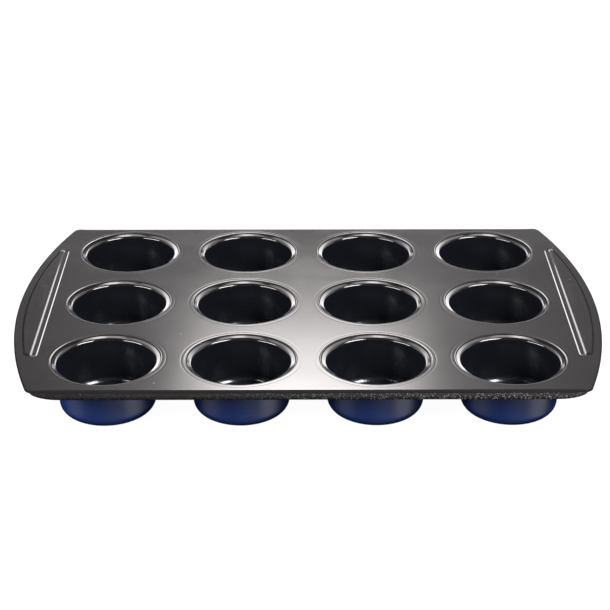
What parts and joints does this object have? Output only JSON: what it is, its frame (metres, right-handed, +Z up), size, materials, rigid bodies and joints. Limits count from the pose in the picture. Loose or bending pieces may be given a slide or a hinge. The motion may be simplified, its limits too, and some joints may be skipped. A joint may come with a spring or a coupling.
{
  "type": "muffin tin",
  "caption": "Rectangular coated-steel muffin tin with a grid of deep round cups, bowed ends with raised grip panels and turned-down long sides.",
  "frame": {"origin": "on the surface the tin stands on, under the middle of the deck", "axes": "+X along the tin's length from the left handle to the right one, +Y towards the back long side, +Z up"},
  "size_m": [0.416, 0.2744, 0.0378],
  "materials": {
    "dark_grey_nonstick": "dark grey semi-gloss baked coating with a fine metallic fleck",
    "navy_enamel": "navy satin outside of the cups; their inside has the deck's dark coating"
  },
  "bodies": {
    "root": {"deck": "dark_grey_nonstick", "cup_front_1": "navy_enamel", "cup_front_2": "navy_enamel", "cup_front_3": "navy_enamel", "cup_front_4": "navy_enamel", "cup_middle_1": "navy_enamel", "cup_middle_2": "navy_enamel", "cup_middle_3": "navy_enamel", "cup_middle_4": "navy_enamel", "cup_back_1": "navy_enamel", "cup_back_2": "navy_enamel", "cup_back_3": "navy_enamel", "cup_back_4": "navy_enamel"}
  },
  "joints": []
}
